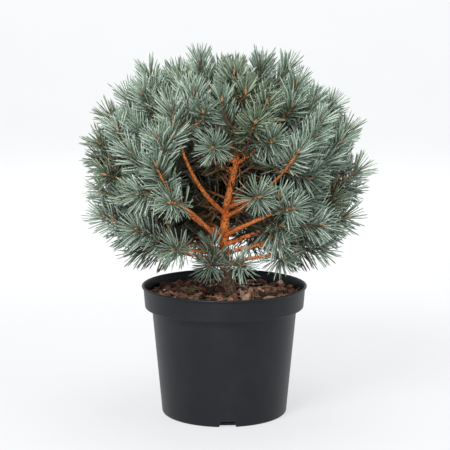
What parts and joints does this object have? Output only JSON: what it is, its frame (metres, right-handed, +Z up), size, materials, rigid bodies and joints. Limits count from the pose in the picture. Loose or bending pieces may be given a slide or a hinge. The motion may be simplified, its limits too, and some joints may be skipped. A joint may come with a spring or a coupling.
{
  "type": "potted scots pine",
  "caption": "Dwarf blue Scots pine with a round crown of needled shoots on short boughs, standing in a round tapered nursery pot filled with bark mulch.",
  "frame": {"origin": "centre of the pot's flat underside, where the plant stands", "axes": "+Z up along the trunk; -Y is the front, as the picture shows it; +X is to the right seen from the front"},
  "size_m": [0.4037, 0.3873, 0.5086],
  "materials": {
    "pot": "black moulded plastic, faintly pebbled satin",
    "mulch": "loose bark chips over potting mix",
    "old_bark": "grey-brown flaking bark",
    "bark": "thin orange flaking bark",
    "needles": "blue-green needles, waxy"
  },
  "bodies": {
    "root": {"pot": "pot", "mulch": "mulch", "trunk": "old_bark", "bough_back": "bark", "bough_back_high": "bark", "bough_back_left": "bark", "bough_back_left_high": "bark", "bough_back_left_skirt": "bark", "bough_back_right": "bark", "bough_back_right_high": "bark", "bough_back_right_skirt": "bark", "bough_crest_left": "bark", "bough_crest_right": "bark", "bough_foot": "bark", "bough_front_centre": "bark", "bough_front_left": "bark", "bough_front_left_high": "bark", "bough_front_left_low": "bark", "bough_front_left_skirt": "bark", "bough_front_right": "bark", "bough_front_right_high": "bark", "bough_front_right_low": "bark", "bough_left": "bark", "bough_left_low": "bark", "bough_left_skirt": "bark", "bough_right": "bark", "bough_right_low": "bark", "bough_right_skirt": "bark", "bough_shoulder_left": "bark", "bough_shoulder_right": "bark", "needles_leader": "needles", "needles_back": "needles", "needles_back_high": "needles", "needles_back_left": "needles", "needles_back_left_high": "needles", "needles_back_left_skirt": "needles", "needles_back_right": "needles", "needles_back_right_high": "needles", "needles_back_right_skirt": "needles", "needles_crest_left": "needles", "needles_crest_right": "needles", "needles_foot": "needles", "needles_front_centre": "needles", "needles_front_left": "needles", "needles_front_left_high": "needles", "needles_front_left_low": "needles", "needles_front_left_skirt": "needles", "needles_front_right": "needles", "needles_front_right_high": "needles", "needles_front_right_low": "needles", "needles_left": "needles", "needles_left_low": "needles", "needles_left_skirt": "needles", "needles_right": "needles", "needles_right_low": "needles", "needles_right_skirt": "needles", "needles_shoulder_left": "needles", "needles_shoulder_right": "needles"}
  },
  "joints": []
}
